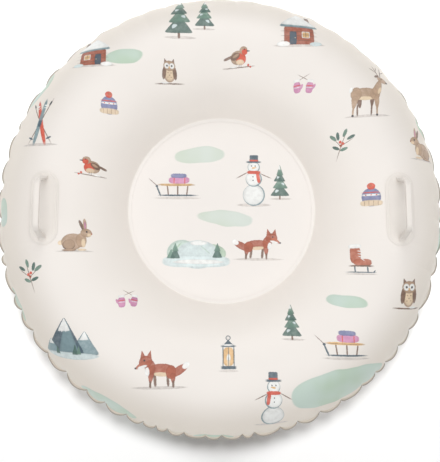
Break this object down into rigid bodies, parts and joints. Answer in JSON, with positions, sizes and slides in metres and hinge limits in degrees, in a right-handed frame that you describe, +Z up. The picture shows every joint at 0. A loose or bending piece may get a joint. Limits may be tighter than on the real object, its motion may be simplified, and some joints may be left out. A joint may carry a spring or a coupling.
{
  "type": "snow tube",
  "caption": "Round inflated tube for sliding on snow, with a flat seat in the middle, a puckered welded rim, two strap handles on pads and an air valve with a plug.",
  "frame": {"origin": "centre of the tube, on the plane that its lower skin rests on", "axes": "+Z up through the middle of the seat, +X towards the right handle, +Y towards the back, where the air valve is"},
  "size_m": [0.896, 0.896, 0.2485],
  "materials": {
    "printed_film": "satin cream PVC film with a small printed winter pattern",
    "sliding_film": "thicker satin cream PVC film with the same print",
    "seat_film": "satin cream PVC film, taut, printed",
    "weld": "welded margin of two films, a little darker and more see-through",
    "handle": "soft moulded cream PVC, satin",
    "valve": "soft milky PVC moulding"
  },
  "bodies": {
    "tube": {"upper_skin": "printed_film", "lower_skin": "sliding_film", "seat_panel": "seat_film", "rim_seam": "weld", "left_handle_pad": "handle", "left_handle_grip": "handle", "right_handle_pad": "handle", "right_handle_grip": "handle", "valve_flange": "valve"},
    "valve_neck": {"valve_neck": "valve", "valve_tether": "valve"},
    "valve_plug": {"valve_plug": "valve"},
    "valve_flap": {"valve_flap": "valve"}
  },
  "joints": [
    {"name": "valve_neck_slide", "type": "slide", "parent": "tube", "child": "valve_neck", "axis": [0, 0.8192, -0.5736], "range_m": [0, 0.012]},
    {"name": "valve_plug_pull", "type": "slide", "parent": "valve_neck", "child": "valve_plug", "axis": [0, 0.8192, -0.5736], "range_m": [0, 0.01]},
    {"name": "valve_flap_swing", "type": "hinge", "parent": "valve_neck", "child": "valve_flap", "pos_m": [-0.0076, 0.40287, 0.05808], "axis": [0, -0.5736, -0.8192], "range_deg": [0, 70], "stiffness_Nm_per_rad": 0.0004}
  ]
}
